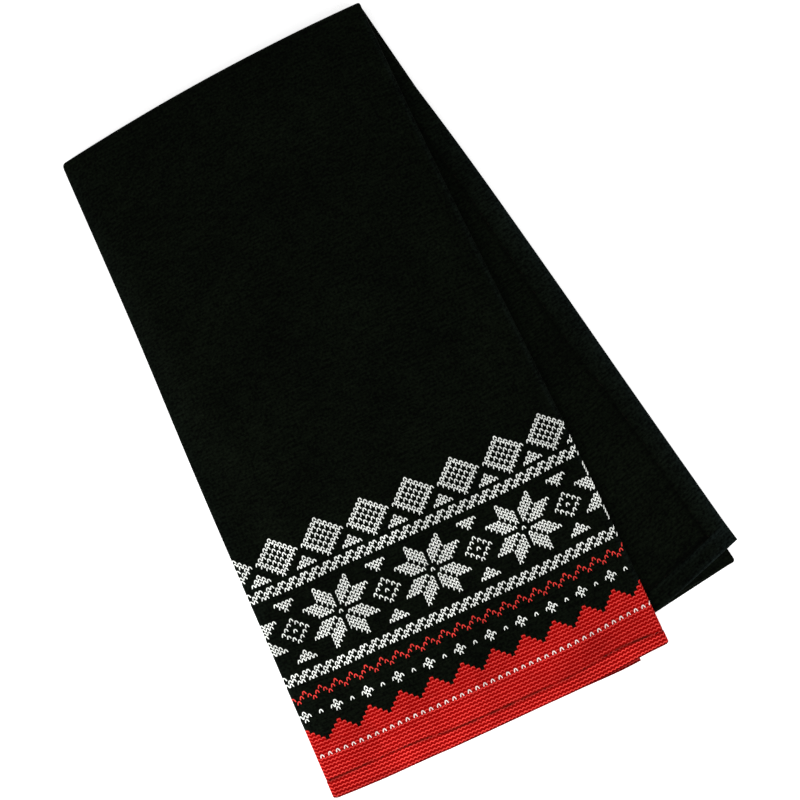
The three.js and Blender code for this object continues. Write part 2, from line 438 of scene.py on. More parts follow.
def hem_y(column, half, across):
    """Y of the cloth's end at one column of a half."""
    table = LOWER_HEM if half == "lower" else UPPER_HEM
    hem = read_table(table, "across", column.layer, across) + CORNER_ROUNDING * column.rounding
    if half == "lower" and column.layer == "outer":
        past = max(0.0, across * STRIP_WIDTH - FLAP_CORNER_START)
        hem += FLAP_CORNER_SLOPE * past * past / (past + FLAP_CORNER_EASE)
    return hem


def outside_lower_half(place):
    """How far a place on the table lies outside the lower half's left fold line."""
    foot = Vector((FOLD_LINES["lower_left"][0], AXIS_LEFT.y))
    head = Vector((FOLD_LINES["lower_left"][-1], LOWER_HEM["middle"][0]))
    run = (head - foot).normalized()
    return (place.x - foot.x) * run.y - (place.y - foot.y) * run.x


def fullness(place):
    """Share of the pile's plain height that it has at a place."""
    slope = AXIS_DIRECTION.y / AXIS_DIRECTION.x
    from_axis = AXIS_LEFT.y + (place.x - AXIS_LEFT.x) * slope - place.y
    full = 1 + FULLNESS_AT_FOLD * math.exp(-max(0.0, from_axis) / FULLNESS_REACH)
    for centre, radius, amount in SWELLS:
        full += amount * bell((place - centre).length / radius)
    for reach, amount in UNEVENNESS:
        full += amount * noise.noise(Vector((place.x / reach, place.y / reach, reach)))
    from_left = max(0.0, place.x - FOLD_LINES["upper_left"][0])
    return full - LEFT_SOFTNESS * math.exp(-from_left / LEFT_SOFT_REACH)


def settle(column, half, across, along):
    """How far a layer sinks where a flap under it ends short of the fold."""
    if half != "upper":
        return 0.0
    outer_edge = read_table(UPPER_FLAPS, "along", "outer", along)
    rolled = clamp(1 - (STRIP_WIDTH - across) / RIGHT_ROLL_REACH)
    lifted = (column.level - LEVEL["inner"]) / (LEVEL["middle"] - LEVEL["inner"])
    down = RIGHT_ROLL * rolled * rolled * max(0.0, lifted)
    if column.layer in ("inner", "middle") and across > STRIP_WIDTH / 2:
        down += RIGHT_SETTLE * smooth((across - outer_edge) / RIGHT_SETTLE_REACH)
    if across < INNER_FREE_EDGE and (column.layer == "middle" or column.rounding > 0):
        lifted = (column.level - LEVEL["outer"]) / (LEVEL["middle"] - LEVEL["outer"])
        down += LEFT_SETTLE * lifted * smooth(1 - across / INNER_FREE_EDGE)
    return down


def flap_relief(column, half, place):
    """Raised corner and pucker of the flap that lies on top of the lower half."""
    if half != "lower" or column.layer != "outer" or column.rounding > 0:
        return 0.0
    past = (place - FLAP_CREASE).dot(FLAP_CREASE_DOWN)
    lift = FLAP_CREASE_RISE * smooth(past / FLAP_CREASE_REACH)
    run = PUCKER_TO - PUCKER_FROM
    share = clamp((place - PUCKER_FROM).dot(run) / run.length_squared)
    away = (place - PUCKER_FROM - run * share).length / PUCKER_REACH
    return lift - PUCKER_DEPTH * (1 - share) * bell(away)


def cloth_point(column, row):
    """Middle of the cloth at one column and row."""
    if row.half == "fold":
        across = across_strip(column, "upper", 0.0) / STRIP_WIDTH
        along = 0.0
        place = axis_point(across, row.angle) + AXIS_DIRECTION * column.bulge
        place += AXIS_NORMAL * (column.level * math.sin(row.angle))
    else:
        across = column.across / STRIP_WIDTH
        along = 0.0
        for _ in range(2):
            axis = axis_point(across, row.angle)
            hem = hem_y(column, row.half, across)
            y = mix(hem + row.from_hem, axis.y, row.share)
            along = (axis.y - y) / (axis.y - hem)
            across = across_strip(column, row.half, along) / STRIP_WIDTH
        left = read_table(FOLD_LINES, "along", row.half + "_left", along)
        right = read_table(FOLD_LINES, "along", row.half + "_right", along)
        slip = axis.x - AXIS_LEFT.x - across * (AXIS_RIGHT.x - AXIS_LEFT.x)
        place = Vector((mix(left, right, across) + column.bulge + slip * (1 - along), y))
    above = (1 + math.cos(row.angle)) / 2
    height = PILE_MIDDLE + column.level * math.cos(row.angle)
    height -= DRAPE_DROP * above * smooth(outside_lower_half(place) / DRAPE_WIDTH)
    height -= settle(column, row.half, across * STRIP_WIDTH, along)
    height = RESTING + (height - RESTING) * fullness(place)
    height += flap_relief(column, row.half, place)
    return Vector((place.x, place.y, height))


def share_of_half(row_stitch):
    """Place of a row along its half: 0 at the cross fold, 1 at the end hem."""
    if row_stitch < LOWER_FROM:
        return clamp(1 - row_stitch / CROSS_FOLD_FROM)
    return clamp((row_stitch - LOWER_FROM) / (CLOTH_ROWS - LOWER_FROM))


def red_hem_at(column_stitch, measure):
    """One measure of the red hem at a column: its width, or how far yarn is drawn up there."""
    across = clamp(column_at(column_stitch).across / STRIP_WIDTH)
    return read_table(RED_HEM, "across", measure, across)


def side_hem_width(row_stitch):
    return read_table(SIDE_HEM, "along", "width", share_of_half(row_stitch))


def hem_gaps(column_stitch, row_stitch):
    """Signed distances into the cloth from the sewn lines of the side, red and plain hems."""
    side = min(column_stitch, CLOTH_STITCHES - column_stitch) * STITCH_WIDE
    return (
        side - side_hem_width(row_stitch),
        row_stitch * STITCH_TALL - red_hem_at(column_stitch, "width"),
        (CLOTH_ROWS - row_stitch) * STITCH_TALL - PLAIN_HEM_WIDTH,
    )


def front_paleness(column_stitch, row_stitch):
    """Painted highlight on the upper half: by its long folds, in the red hem and the red field."""
    column = column_at(column_stitch)
    from_right = STRIP_WIDTH - column.across - column.bulge
    pale = RIGHT_RIDGE * bell((from_right - RIGHT_RIDGE_INSIDE) / RIGHT_RIDGE_REACH)
    pale += LEFT_PALENESS * math.exp(-column.across / LEFT_PALE_REACH)
    leftward = smooth((column_stitch - RED_PALE_FROM) / RED_PALE_REACH)
    off_row = (row_stitch - RED_PALE_ROW) / RED_PALE_HALF_HEIGHT
    pale += RED_FIELD_PALENESS * leftward * bell(off_row)
    _, red_gap, _ = hem_gaps(column_stitch, row_stitch)
    return max(pale, RED_HEM_PALENESS * smooth(0.5 - red_gap / HEM_STEP))


def flap_paleness(column_stitch, row_stitch):
    """Painted highlight of the side and end hems of the flap that lies on top of the lower half."""
    side_gap, _, plain_gap = hem_gaps(column_stitch, row_stitch)
    inward = clamp(-side_gap / side_hem_width(row_stitch))
    by_side = read_table(HEM_PALENESS, "inward", "side", inward)
    by_side *= smooth(0.5 - side_gap / HEM_STEP)
    by_side *= smooth((share_of_half(row_stitch) - PALE_SIDE_FROM) / PALE_SIDE_REACH)
    inward = clamp(-plain_gap / PLAIN_HEM_WIDTH)
    by_end = read_table(HEM_PALENESS, "inward", "end", inward)
    by_end *= smooth(0.5 - plain_gap / HEM_STEP)
    return by_side + by_end * mix(PALE_END_LEAST, 1.0, towards_corner(column_stitch))


def towards_corner(column_stitch):
    """0 along the plain hem, rising to 1 by the flap's free corner."""
    return clamp((column_stitch - CORNER_FROM) / CORNER_REACH)


def painted_highlight(column_stitch, row_stitch):
    """Painted highlight: how much paler the cloth is on the layers that lie on top."""
    layer = column_at(column_stitch).layer
    if row_stitch < CROSS_FOLD_FROM and layer == "middle":
        return front_paleness(column_stitch, row_stitch)
    if row_stitch >= LOWER_FROM and layer == "outer":
        return flap_paleness(column_stitch, row_stitch)
    return 0.0


def shadow(column_stitch, row_stitch):
    """How much darker the cloth is: beside the black hems' sewn lines, and at the red end."""
    side_gap, _, plain_gap = hem_gaps(column_stitch, row_stitch)
    dark = SIDE_SEAM_SHADOW + CORNER_SEAM_SHADOW * math.exp(-max(0.0, plain_gap) / SIDE_SEAM_SPREAD)
    dark *= bell((side_gap - SEAM_SHADOW_INSIDE) / SEAM_SHADOW_REACH)
    dark *= smooth(0.5 + plain_gap / HEM_STEP)
    by_end = bell((plain_gap - SEAM_SHADOW_INSIDE) / SEAM_SHADOW_REACH)
    if plain_gap > 0:
        by_end = max(by_end, END_SEAM_BLUR * math.exp(-plain_gap / END_SEAM_SPREAD))
    by_end *= mix(END_SEAM_LEAST, 1.0, towards_corner(column_stitch))
    dark = max(dark, END_SEAM_SHADOW * by_end * smooth(0.5 + side_gap / HEM_STEP))
    if row_stitch >= CROSS_FOLD_FROM:
        return dark
    from_end = row_stitch * STITCH_TALL
    if column_at(column_stitch).layer != "middle":
        return max(dark, UNDER_SHADOW * smooth(1 - from_end / UNDER_SHADOW_REACH))
    for column, row, wide, tall, depth in RED_PATCHES:
        off = math.hypot((column_stitch - column) / wide, (row_stitch - row) / tall)
        dark = max(dark, depth * bell(off))
    return max(dark, EDGE_SHADOW * smooth(1 - from_end / EDGE_SHADOW_REACH))


def drawn_up(column_stitch, row_stitch):
    """How much black ground yarn is drawn up along the red hem's sewn line."""
    _, red_gap, _ = hem_gaps(column_stitch, row_stitch)
    return red_hem_at(column_stitch, "drawn_up") * bell(red_gap / DRAWN_HALF_WIDTH)


def face_offsets(column_stitch, row_stitch, towel):
    """How far the face and the reverse stand off the cloth's middle: thicker in the hems, and
    pulled in along the sewn line."""
    gap = min(hem_gaps(column_stitch, row_stitch))
    hem_share = smooth((gap + HEM_STEP / 3) / HEM_STEP)
    half = mix(towel.hem_thickness / MM, towel.thickness / MM, hem_share) / 2
    pulled = GROOVE_DEPTH * bell(gap / GROOVE_HALF_WIDTH)
    return half - pulled, half - pulled * 0.5


def between(start, end, steps):
    return [mix(start, end, step / steps) for step in range(steps)]


def cloth_columns():
    """Grid lines across the cloth: one for each stitch, or for two where the inner flap is out
    of sight, and more in the hems' steps and the folds."""
    hidden = set(range(10, 70, 2))
    columns = set(range(0, 10)) | hidden | set(range(70, CLOTH_STITCHES + 1))
    columns |= {4.35, 4.7, 5.35}
    columns |= {CLOTH_STITCHES - place for place in (4.2, 4.4, 4.6, 4.8, 5.2, 5.4, 5.6, 5.8)}
    for start, end, steps in (
        (RIGHT_FOLD_FROM, MIDDLE_FROM, 6),
        (MIDDLE_FROM, MIDDLE_FROM + 1, 5),
        (LEFT_FOLD_FROM, OUTER_FROM, 8),
    ):
        columns |= set(between(start, end, steps))
    return sorted(columns)


def cloth_rows():
    """Grid lines along the cloth: one for each stitch of the border, wider ones past it, and
    more at the sewn lines."""
    rows = [0, 0.2, 0.45, 1, 2] + between(3, 6, 12) + list(range(6, FIGURED_ROWS))
    for start, end, steps in (
        (FIGURED_ROWS, CROSS_FOLD_FROM, 28),
        (CROSS_FOLD_FROM, LOWER_FROM, 10),
        (LOWER_FROM, CLOTH_ROWS - 8, 42),
        (CLOTH_ROWS - 8, CLOTH_ROWS - 6.8, 2),
        (CLOTH_ROWS - 6.8, CLOTH_ROWS - 4.4, 12),
        (CLOTH_ROWS - 4.4, CLOTH_ROWS, 9),
    ):
        rows += between(start, end, steps)
    return rows + [CLOTH_ROWS]


def yarn_at(column_stitch, row_stitch):
    """Letter of the border's chart at a stitch, or a full stop in the plain black."""
    if not 0 <= row_stitch < FIGURED_ROWS:
        return "."
    band_row = BORDER[FIGURED_ROWS - 1 - row_stitch]
    return band_row[(column_stitch - CLOTH_CENTRE + STAR_CENTRE) % len(band_row)]


def plan_shift(points):
    """Move from the towel's plan to the frame, so that its box stands where the CAD's does."""
    low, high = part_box("towel")
    middle_x = (min(p.x for p in points) + max(p.x for p in points)) / 2
    middle_y = (min(p.y for p in points) + max(p.y for p in points)) / 2
    centre = (low + high) / 2
    lowest = min(p.z for p in points)
    return Vector((centre.x / MM - middle_x, centre.y / MM - middle_y, low.z / MM - lowest))


def cloth_skin(towel):
    """Points and quads of the closed cloth, the stitch place of every point, and its shift."""
    columns, rows = cloth_columns(), cloth_rows()
    wide, long = len(columns), len(rows)
    column_places = [column_at(stitch) for stitch in columns]
    row_places = [row_at(stitch) for stitch in rows]
    middle = [[cloth_point(column, row) for column in column_places] for row in row_places]
    points, stitches, quads = [], [], []
    reverse, face, outward = {}, {}, {}
    for j in range(long):
        for i in range(wide):
            across = middle[j][min(wide - 1, i + 1)] - middle[j][max(0, i - 1)]
            along = middle[min(long - 1, j + 1)][i] - middle[max(0, j - 1)][i]
            normal = across.cross(along).normalized()
            out = Vector((0.0, 0.0, 0.0))
            if i in (0, wide - 1):
                out += across.normalized() * (-1 if i == 0 else 1)
            if j in (0, long - 1):
                out += along.normalized() * (-1 if j == 0 else 1)
            face_off, reverse_off = face_offsets(columns[i], rows[j], towel)
            if out.length > 0:
                outward[i, j] = out * (face_off + reverse_off) / 2
                inset = middle[j][i] - outward[i, j]
            else:
                inset = middle[j][i]
            for store, offset in ((reverse, reverse_off), (face, -face_off)):
                store[i, j] = len(points)
                points.append(inset + normal * offset)
                stitches.append((columns[i], rows[j]))
    for j in range(long - 1):
        for i in range(wide - 1):
            ring = ((i, j), (i + 1, j), (i + 1, j + 1), (i, j + 1))
            quads.append(tuple(reverse[place] for place in ring))
            quads.append(tuple(face[place] for place in reversed(ring)))
    rim = (
        [(0, j) for j in range(long - 1)]
        + [(i, long - 1) for i in range(wide - 1)]
        + [(wide - 1, j) for j in range(long - 1, 0, -1)]
        + [(i, 0) for i in range(wide - 1, 0, -1)]
    )
    rim_points = []
    for place in rim:
        top, bottom = points[reverse[place]], points[face[place]]
        ring = [reverse[place]]
        for angle in (math.pi / 4, math.pi / 2, math.pi * 3 / 4):
            ring.append(len(points))
            points.append(
                (top + bottom) / 2
                + (top - bottom) / 2 * math.cos(angle)
                + outward[place] * math.sin(angle)
            )
            stitches.append(stitches[reverse[place]])
        rim_points.append(ring + [face[place]])
    for here, there in zip(rim_points, rim_points[1:] + rim_points[:1]):
        for k in range(len(here) - 1):
            quads.append((here[k], there[k], there[k + 1], here[k + 1]))
    shift = plan_shift(points)
    return [(point + shift) * MM for point in points], quads, stitches, shift


def add_node(tree, kind, inputs=None, **settings):
    """Adds a node with its settings; an input is a value, a socket, or a node's first output."""
    node = tree.nodes.new(kind)
    for name, value in settings.items():
        setattr(node, name, value)
    for key, value in (inputs or {}).items():
        if isinstance(value, bpy.types.Node):
            value = value.outputs[0]
        if isinstance(value, bpy.types.NodeSocket):
            tree.links.new(value, node.inputs[key])
        else:
            node.inputs[key].default_value = value
    return node


def new_material(name):
    material = bpy.data.materials.new(name)
    material.use_nodes = True
    material.node_tree.nodes.clear()
    return material, material.node_tree


def jacquard_cotton(towel):
    """Jacquard-woven cotton, dyed yarns: a matt black ground with white and red yarn brought to
    the face as small peaked stitches, so the figure reads as knitting and takes no shine."""
    material, tree = new_material("jacquard_cotton")
    place = add_node(tree, "ShaderNodeUVMap", uv_map="stitches")
    split = add_node(tree, "ShaderNodeSeparateXYZ", {0: place})
    cell_x, cell_y = (
        add_node(tree, "ShaderNodeMath", {0: axis}, operation="FRACT")
        for axis in (split.outputs[0], split.outputs[1])
    )
    # Cloth place in millimetres, for noise at real sizes: cloudy shades, blotches and fibres,
    # and slubs that run along the weft
    millimetres = add_node(
        tree, "ShaderNodeVectorMath", {0: place, 1: (STITCH_WIDE, STITCH_TALL, 1.0)},
        operation="MULTIPLY",
    )
    cloud, blotch, mottle = (
        add_node(tree, "ShaderNodeTexNoise",
                 {"Vector": millimetres, "Scale": 1 / size, "Detail": detail})
        for size, detail in ((32, 2.0), (6, 2.0), (1.3, 3.0))
    )
    slub_place = add_node(
        tree, "ShaderNodeVectorMath", {0: millimetres, 1: (0.12, 1.0, 1.0)}, operation="MULTIPLY"
    )
    slub = add_node(tree, "ShaderNodeTexNoise", {"Vector": slub_place, "Scale": 1.1, "Detail": 1.0})
    # Marks on the mesh: stitch colours, painted highlight, drawn-up yarn and painted shadow
    white_here, red_here, red_ground, pale, drawn, dark = (
        add_node(tree, "ShaderNodeAttribute", attribute_name=name).outputs["Fac"]
        for name in ("white_stitch", "red_stitch", "red_ground", "painted_highlight", "drawn_up", "shadow")
    )
    # The yarn's path over one stitch is an arch, and its slope turns the height above it into
    # the distance from it; red on red lies flatter, as one line waving from stitch to stitch
    waving = add_node(tree, "ShaderNodeMath", {0: red_here, 1: red_ground}, operation="MULTIPLY")
    off_middle = add_node(tree, "ShaderNodeMath", {0: cell_x, 1: 0.5}, operation="SUBTRACT")
    bend = add_node(tree, "ShaderNodeMapRange", {0: waving, 3: ARCH_BEND, 4: RED_ARCH_BEND})
    slope = add_node(tree, "ShaderNodeMath", {0: bend, 1: off_middle}, operation="MULTIPLY")
    drop = add_node(tree, "ShaderNodeMath", {0: slope, 1: off_middle}, operation="MULTIPLY")
    steep = add_node(tree, "ShaderNodeMath", {0: slope, 1: slope}, operation="MULTIPLY")
    narrowing = add_node(tree, "ShaderNodeMapRange", {0: waving, 3: 4.0, 4: 0.0})
    steep = add_node(
        tree, "ShaderNodeMath", {0: steep, 1: narrowing, 2: 1.0}, operation="MULTIPLY_ADD"
    )
    steep = add_node(tree, "ShaderNodeMath", {0: steep}, operation="SQRT")
    from_path = add_node(tree, "ShaderNodeMath", {0: cell_y, 1: drop}, operation="ADD")
    wander = add_node(
        tree, "ShaderNodeMapRange",
        {0: mottle, 3: ARCH_TOP - YARN_WANDER, 4: ARCH_TOP + YARN_WANDER},
    )
    from_path = add_node(tree, "ShaderNodeMath", {0: from_path, 1: wander}, operation="SUBTRACT")
    from_path = add_node(tree, "ShaderNodeMath", {0: from_path}, operation="ABSOLUTE")
    from_path = add_node(tree, "ShaderNodeMath", {0: from_path, 1: steep}, operation="DIVIDE")
    reach = add_node(
        tree, "ShaderNodeMath",
        {0: waving, 1: towel.red_fullness / 2, 2: towel.yarn_width / 2},
        operation="MULTIPLY_ADD",
    )
    inside = add_node(tree, "ShaderNodeMath", {0: reach, 1: from_path}, operation="SUBTRACT")
    yarn = add_node(
        tree, "ShaderNodeMapRange", {0: inside, 1: -0.05, 2: 0.05, 3: 0.0, 4: 1.0},
        interpolation_type="SMOOTHSTEP",
    )
    stitch_number = add_node(tree, "ShaderNodeVectorMath", {0: place}, operation="FLOOR")
    each_stitch = add_node(tree, "ShaderNodeTexWhiteNoise", {"Vector": stitch_number})
    shade = add_node(
        tree, "ShaderNodeMath", {0: cloud, 1: 0.5, 2: -2.82}, operation="MULTIPLY_ADD"
    )
    for spots, strength in ((blotch, 0.9), (mottle, 4.2), (slub, 1.9)):
        shade = add_node(
            tree, "ShaderNodeMath", {0: spots, 1: strength, 2: shade}, operation="MULTIPLY_ADD"
        )
    ground_shade = add_node(tree, "ShaderNodeMath", {0: shade, 1: 0.25}, operation="MAXIMUM")
    # Painted highlight: the black is paler where hems and folds catch the light, the coloured yarns
    # a little
    pale_shade = add_node(
        tree, "ShaderNodeMapRange", {0: pale, 3: 1.0, 4: towel.hem_paleness}, clamp=False
    )
    black_shade = add_node(
        tree, "ShaderNodeMath", {0: ground_shade, 1: pale_shade}, operation="MULTIPLY"
    )
    black = add_node(
        tree, "ShaderNodeMix",
        {0: pale, 6: towel.black_yarn, 7: towel.highlight_yarn}, data_type="RGBA",
    )
    black = add_node(
        tree, "ShaderNodeVectorMath", {0: black.outputs[2], "Scale": black_shade},
        operation="SCALE",
    )
    fibre_shade = add_node(tree, "ShaderNodeMapRange", {0: mottle, 1: 0.3, 2: 0.7, 3: 0.9, 4: 1.1})
    yarn_shade = add_node(
        tree, "ShaderNodeMapRange", {0: each_stitch.outputs["Value"], 3: 0.88, 4: 1.06}
    )
    # Painted highlight on the coloured yarns too
    highlight_shade = add_node(tree, "ShaderNodeMapRange", {0: pale, 3: 1.0, 4: 1.3})
    for other_shade in (fibre_shade, highlight_shade):
        yarn_shade = add_node(
            tree, "ShaderNodeMath", {0: yarn_shade, 1: other_shade}, operation="MULTIPLY"
        )
    # Which yarns show at this stitch
    figured = add_node(tree, "ShaderNodeMath", {0: white_here, 1: red_here}, operation="ADD")
    shown = add_node(tree, "ShaderNodeMath", {0: yarn, 1: figured}, operation="MULTIPLY")
    ground = add_node(
        tree, "ShaderNodeMix", {0: red_ground, 6: black, 7: towel.red_shade}, data_type="RGBA"
    )
    # White yarn among the red takes a little of its colour
    white_share = add_node(tree, "ShaderNodeMapRange", {0: red_ground, 3: 1.0, 4: 0.82})
    white_share = add_node(
        tree, "ShaderNodeMath", {0: white_here, 1: white_share}, operation="MULTIPLY"
    )
    figure = add_node(
        tree, "ShaderNodeMix", {0: white_share, 6: towel.red_yarn, 7: towel.white_yarn},
        data_type="RGBA",
    )
    figure = add_node(
        tree, "ShaderNodeVectorMath", {0: figure.outputs[2], "Scale": yarn_shade},
        operation="SCALE",
    )
    colour = add_node(
        tree, "ShaderNodeMix", {0: shown, 6: ground.outputs[2], 7: figure}, data_type="RGBA"
    )
    # Along the red hem's seam black ground yarn is drawn up, more in some places
    patches = add_node(tree, "ShaderNodeMapRange", {0: blotch, 1: 0.36, 2: 0.56, 3: 0.25, 4: 1.0})
    drawn_share = add_node(tree, "ShaderNodeMath", {0: drawn, 1: patches}, operation="MULTIPLY")
    colour = add_node(
        tree, "ShaderNodeMix", {0: drawn_share, 6: colour.outputs[2], 7: towel.drawn_yarn},
        data_type="RGBA",
    )
    # Painted shadow darkens the cloth by the shadow mark, and a tone that differs at random makes
    # it darker and lighter
    depth = add_node(tree, "ShaderNodeMapRange", {0: dark, 3: 1.0, 4: 0.1})
    uneven = add_node(tree, "ShaderNodeMapRange", {0: cloud, 1: 0.3, 2: 0.7, 3: 0.86, 4: 1.1})
    depth = add_node(tree, "ShaderNodeMath", {0: depth, 1: uneven}, operation="MULTIPLY")
    colour = add_node(
        tree, "ShaderNodeVectorMath", {0: colour.outputs[2], "Scale": depth}, operation="SCALE"
    )
    height = add_node(tree, "ShaderNodeMath", {0: yarn, 1: 0.35}, operation="MULTIPLY")
    for raised in (shown, slub):
        height = add_node(
            tree, "ShaderNodeMath", {0: raised, 1: 0.5, 2: height}, operation="MULTIPLY_ADD"
        )
    bump = add_node(
        tree, "ShaderNodeBump", {"Height": height, "Strength": 0.7, "Distance": towel.yarn_relief}
    )
    roughness = add_node(tree, "ShaderNodeMapRange", {0: mottle, 3: 0.82, 4: 1.0})
    sheen = add_node(tree, "ShaderNodeMath", {0: depth, 1: 0.03}, operation="MULTIPLY")
    surface = add_node(
        tree, "ShaderNodeBsdfPrincipled",
        {
            "Base Color": colour,
            "Roughness": roughness,
            "Normal": bump,
            "Specular IOR Level": 0.02,
            "Sheen Weight": sheen,
            "Sheen Roughness": 0.25,
        },
    )
    add_node(tree, "ShaderNodeOutputMaterial", {"Surface": surface})
    return material


def sewing_thread(stitching):
    """Mercerised cotton sewing thread, black: two plies twisted, with a slight shine."""
    material, tree = new_material("cotton_sewing_thread")
    place = add_node(tree, "ShaderNodeTexCoord")
    fibre = add_node(
        tree, "ShaderNodeTexNoise", {"Vector": place.outputs["Object"], "Scale": 4000.0}
    )
    shade = add_node(tree, "ShaderNodeMapRange", {0: fibre, 3: 0.7, 4: 1.3})
    colour = add_node(
        tree, "ShaderNodeVectorMath",
        {0: tuple(stitching.thread_colour)[:3], "Scale": shade}, operation="SCALE",
    )
    bump = add_node(tree, "ShaderNodeBump", {"Height": fibre, "Strength": 0.5, "Distance": 0.00005})
    surface = add_node(
        tree, "ShaderNodeBsdfPrincipled",
        {
            "Base Color": colour,
            "Normal": bump,
            "Roughness": 0.6,
            "Specular IOR Level": 0.03,
        },
    )
    add_node(tree, "ShaderNodeOutputMaterial", {"Surface": surface})
    return material


def opal_acrylic(studio):
    """Matt opal acrylic of a light table: white, and lit a little from below, so that the towel
    throws hardly any shadow on it."""
    material, tree = new_material("opal_acrylic")
    place = add_node(tree, "ShaderNodeTexCoord")
    grain = add_node(
        tree, "ShaderNodeTexNoise", {"Vector": place.outputs["Object"], "Scale": 900.0}
    )
    shade = add_node(tree, "ShaderNodeMapRange", {0: grain, 3: 0.99, 4: 1.0})
    colour = add_node(
        tree, "ShaderNodeVectorMath",
        {0: tuple(studio.floor_colour)[:3], "Scale": shade}, operation="SCALE",
    )
    surface = add_node(
        tree, "ShaderNodeBsdfPrincipled",
        {
            "Base Color": colour,
            "Roughness": 0.9,
            "Specular IOR Level": 0.1,
            "Emission Color": (1.0, 1.0, 1.0, 1.0),
            "Emission Strength": studio.table_glow,
        },
    )
    add_node(tree, "ShaderNodeOutputMaterial", {"Surface": surface})
    return material


def lockstitch_tree(material):
    """Geometry Nodes: one rounded stitch after another along seam lines."""
    tree = bpy.data.node_groups.new("lockstitch_seam", "GeometryNodeTree")
    tree.is_modifier = True
    new = tree.interface.new_socket
    new(name="Seam Lines", in_out="INPUT", socket_type="NodeSocketGeometry")
    for name in ("Stitch Pitch", "Stitch Length", "Thread Diameter"):
        new(name=name, in_out="INPUT", socket_type="NodeSocketFloat")
    new(name="Seed", in_out="INPUT", socket_type="NodeSocketInt")
    new(name="Stitches", in_out="OUTPUT", socket_type="NodeSocketGeometry")
    given = add_node(tree, "NodeGroupInput")
    line = add_node(tree, "GeometryNodeMeshToCurve", {0: given.outputs["Seam Lines"]})
    spaced = add_node(tree, "GeometryNodeResampleCurve", {"Curve": line})
    spaced.mode = "LENGTH"
    tree.links.new(given.outputs["Stitch Pitch"], spaced.inputs["Length"])
    run = add_node(tree, "GeometryNodeInputTangent")
    up = add_node(tree, "GeometryNodeInputNamedAttribute", {"Name": "cloth_normal"},
                  data_type="FLOAT_VECTOR")
    standing = add_node(tree, "FunctionNodeAlignRotationToVector", {"Vector": up}, axis="Z")
    turned = add_node(
        tree, "FunctionNodeAlignRotationToVector", {"Rotation": standing, "Vector": run},
        axis="X", pivot_axis="Z",
    )
    skew = add_node(tree, "FunctionNodeRandomValue",
                    {"Min": (0.0, 0.0, -0.12), "Max": (0.0, 0.0, 0.22),
                     "Seed": given.outputs["Seed"]}, data_type="FLOAT_VECTOR")
    skewed = add_node(tree, "FunctionNodeRotateRotation", {0: turned, 1: skew},
                      rotation_space="LOCAL")
    pull = add_node(tree, "FunctionNodeRandomValue",
                    {2: 0.8, 3: 1.08, "Seed": given.outputs["Seed"]}, data_type="FLOAT")
    size = add_node(
        tree, "ShaderNodeCombineXYZ",
        {0: given.outputs["Stitch Length"], 1: given.outputs["Thread Diameter"],
         2: given.outputs["Thread Diameter"]},
    )
    size = add_node(tree, "ShaderNodeVectorMath", {0: size, "Scale": pull.outputs[1]},
                    operation="SCALE")
    bead = add_node(tree, "GeometryNodeMeshUVSphere",
                    {"Segments": 8, "Rings": 6, "Radius": 0.5})
    laid = add_node(
        tree, "GeometryNodeInstanceOnPoints",
        {"Points": spaced, "Instance": bead, "Rotation": skewed, "Scale": size},
    )
    sunk = add_node(tree, "FunctionNodeRandomValue",
                    {"Min": (0.0, 0.0, -0.6), "Max": (0.0, 0.0, 0.0),
                     "Seed": given.outputs["Seed"]}, data_type="FLOAT_VECTOR")
    bedded = add_node(tree, "GeometryNodeTranslateInstances",
                      {"Instances": laid, "Translation": sunk})
    real = add_node(tree, "GeometryNodeRealizeInstances", {0: bedded})
    round_shaded = add_node(tree, "GeometryNodeSetShadeSmooth", {0: real})
    finished = add_node(tree, "GeometryNodeSetMaterial", {0: round_shaded, "Material": material})
    add_node(tree, "NodeGroupOutput", {0: finished})
    return tree


def middle_at(column_stitch, row_stitch):
    """Middle of the cloth at a place counted in stitches."""
    return cloth_point(column_at(column_stitch), row_at(row_stitch))


def seam_point(column_stitch, row_stitch, towel, sink):
    """Place and outward direction of a seam on the face of the cloth, in its plan."""
    across = (middle_at(min(CLOTH_STITCHES, column_stitch + SLOPE_STEP), row_stitch)
              - middle_at(max(0, column_stitch - SLOPE_STEP), row_stitch))
    along = (middle_at(column_stitch, min(CLOTH_ROWS, row_stitch + SLOPE_STEP))
             - middle_at(column_stitch, max(0, row_stitch - SLOPE_STEP)))
    outward = -across.cross(along).normalized()
    face_off, _ = face_offsets(column_stitch, row_stitch, towel)
    return middle_at(column_stitch, row_stitch) + outward * (face_off - sink), outward


def seam_lines():
    """The sewn line of each hem, as places counted in stitches."""
    last_column = CLOTH_STITCHES - END_SEAM_INSET
    columns = between(END_SEAM_INSET, last_column, END_SEAM_POINTS) + [last_column]
    last_row = CLOTH_ROWS - PLAIN_CORNER_INSET
    rows = between(RED_CORNER_INSET, last_row, SIDE_SEAM_POINTS) + [last_row]
    inside = [side_hem_width(row) / STITCH_WIDE for row in rows]
    return (
        [(column, red_hem_at(column, "width") / STITCH_TALL) for column in columns],
        [(column, CLOTH_ROWS - PLAIN_HEM_WIDTH / STITCH_TALL) for column in columns],
        list(zip(inside, rows)),
        [(CLOTH_STITCHES - column, row) for column, row in zip(inside, rows)],
    )


def object_from(name, points, edges, faces):
    mesh = bpy.data.meshes.new(name)
    mesh.from_pydata(points, edges, faces)
    mesh.validate()
    made = bpy.data.objects.new(name, mesh)
    bpy.context.scene.collection.objects.link(made)
    return made


